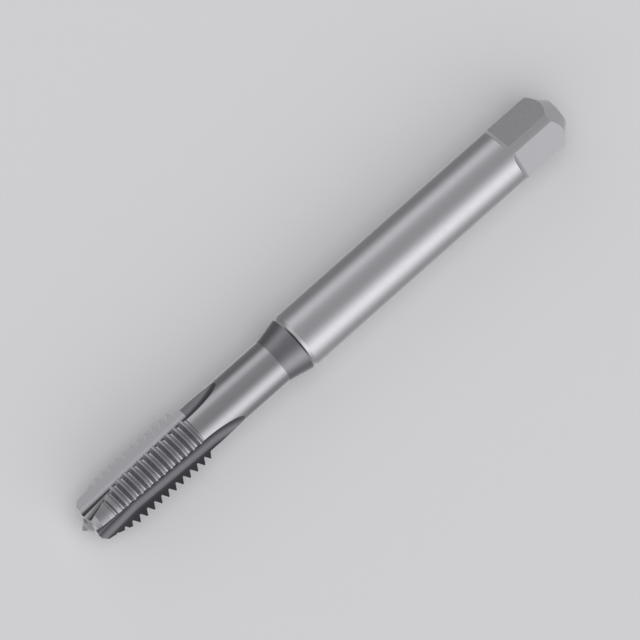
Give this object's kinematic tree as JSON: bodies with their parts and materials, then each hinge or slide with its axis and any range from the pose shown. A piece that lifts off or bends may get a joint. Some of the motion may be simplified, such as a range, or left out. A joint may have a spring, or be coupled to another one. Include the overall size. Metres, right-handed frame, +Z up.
{
  "type": "spiral point tap",
  "caption": "Straight-fluted spiral point machine tap for a metric thread, with male centre, reduced neck, round shank and square drive end.",
  "frame": {"origin": "on the surface the tap lies on, under the middle of its length and under its axis", "axes": "+X along the tap's axis from the male centre to the square end, +Z up, through the middle of one land and one corner of the square"},
  "size_m": [0.1, 0.01, 0.01],
  "materials": {
    "high_speed_steel": "bright ground high-speed steel"
  },
  "bodies": {
    "root": {"tap": "high_speed_steel"}
  },
  "joints": []
}
